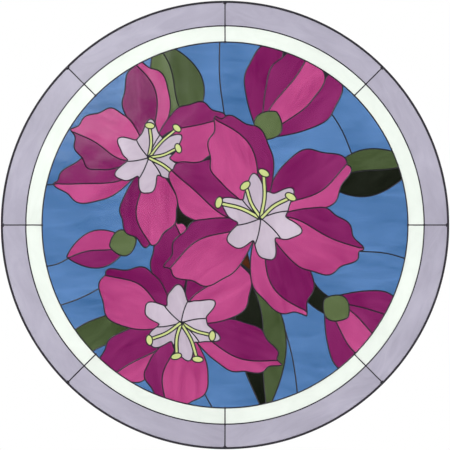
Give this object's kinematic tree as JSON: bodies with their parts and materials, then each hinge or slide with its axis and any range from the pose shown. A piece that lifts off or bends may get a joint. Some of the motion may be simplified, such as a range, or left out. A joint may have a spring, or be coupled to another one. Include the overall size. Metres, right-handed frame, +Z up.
{
  "type": "round stained glass window",
  "caption": "Round leaded window panel: floral picture in coloured glass on a blue ground, two segmented border rings, soldered seams and a lead rim",
  "frame": {"origin": "on the flat back face of the lead rim, at its lowest point, where the window rests in its rebate", "axes": "Z is up, Y is through the glass with the front of the window facing -Y, X runs across it"},
  "size_m": [1, 0.006, 1],
  "materials": {
    "lavender_glass": "wispy, faintly rippled",
    "white_glass": "milky, faintly rippled",
    "blue_glass": "streaky cathedral, rippled",
    "pink_glass": "streaky, semi-opalescent",
    "plum_glass": "streaky, semi-opalescent",
    "lilac_glass": "wispy opalescent",
    "green_glass": "mottled, rippled",
    "olive_glass": "dark, nearly opaque",
    "brown_glass": "dark amber, streaky",
    "yellow_glass": "pale opalescent",
    "solder": "black patina, waxed",
    "lead_came": "drawn lead, dark patina"
  },
  "bodies": {
    "root": {"branch": "olive_glass", "bud_calyx": "green_glass", "bud_petals": "pink_glass", "ground_a": "blue_glass", "ground_b": "blue_glass", "ground_c": "blue_glass", "ground_d": "blue_glass", "ground_e": "blue_glass", "ground_f": "blue_glass", "ground_g": "blue_glass", "inner_border_1": "white_glass", "inner_border_2": "white_glass", "inner_border_3": "white_glass", "inner_border_4": "white_glass", "inner_border_5": "white_glass", "inner_border_6": "white_glass", "inner_border_7": "white_glass", "inner_border_8": "white_glass", "leaf_low": "green_glass", "leaf_right": "green_glass", "leaf_top": "green_glass", "lily_left_heart": "lilac_glass", "lily_left_petal_1": "pink_glass", "lily_left_petal_2": "plum_glass", "lily_left_petal_3": "pink_glass", "lily_left_petal_4": "plum_glass", "lily_left_petal_5": "pink_glass", "lily_low_heart": "lilac_glass", "lily_low_petal_1": "pink_glass", "lily_low_petal_2": "plum_glass", "lily_low_petal_3": "pink_glass", "lily_low_petal_4": "plum_glass", "lily_low_petal_5": "pink_glass", "lily_low_petal_6": "plum_glass", "lily_right_heart": "lilac_glass", "lily_right_petal_1": "pink_glass", "lily_right_petal_2": "plum_glass", "lily_right_petal_3": "pink_glass", "lily_right_petal_4": "plum_glass", "lily_right_petal_5": "pink_glass", "lily_right_petal_6": "plum_glass", "long_leaf_left": "green_glass", "opening_right_calyx": "green_glass", "opening_right_petal_1": "pink_glass", "opening_right_petal_2": "plum_glass", "opening_right_petal_3": "plum_glass", "opening_top_calyx": "green_glass", "opening_top_petal_1": "pink_glass", "opening_top_petal_2": "plum_glass", "opening_top_petal_3": "plum_glass", "outer_border_1": "lavender_glass", "outer_border_2": "lavender_glass", "outer_border_3": "lavender_glass", "outer_border_4": "lavender_glass", "outer_border_5": "lavender_glass", "outer_border_6": "lavender_glass", "outer_border_7": "lavender_glass", "outer_border_8": "lavender_glass", "rim_came": "lead_came", "solder_seams": "solder"}
  },
  "joints": []
}
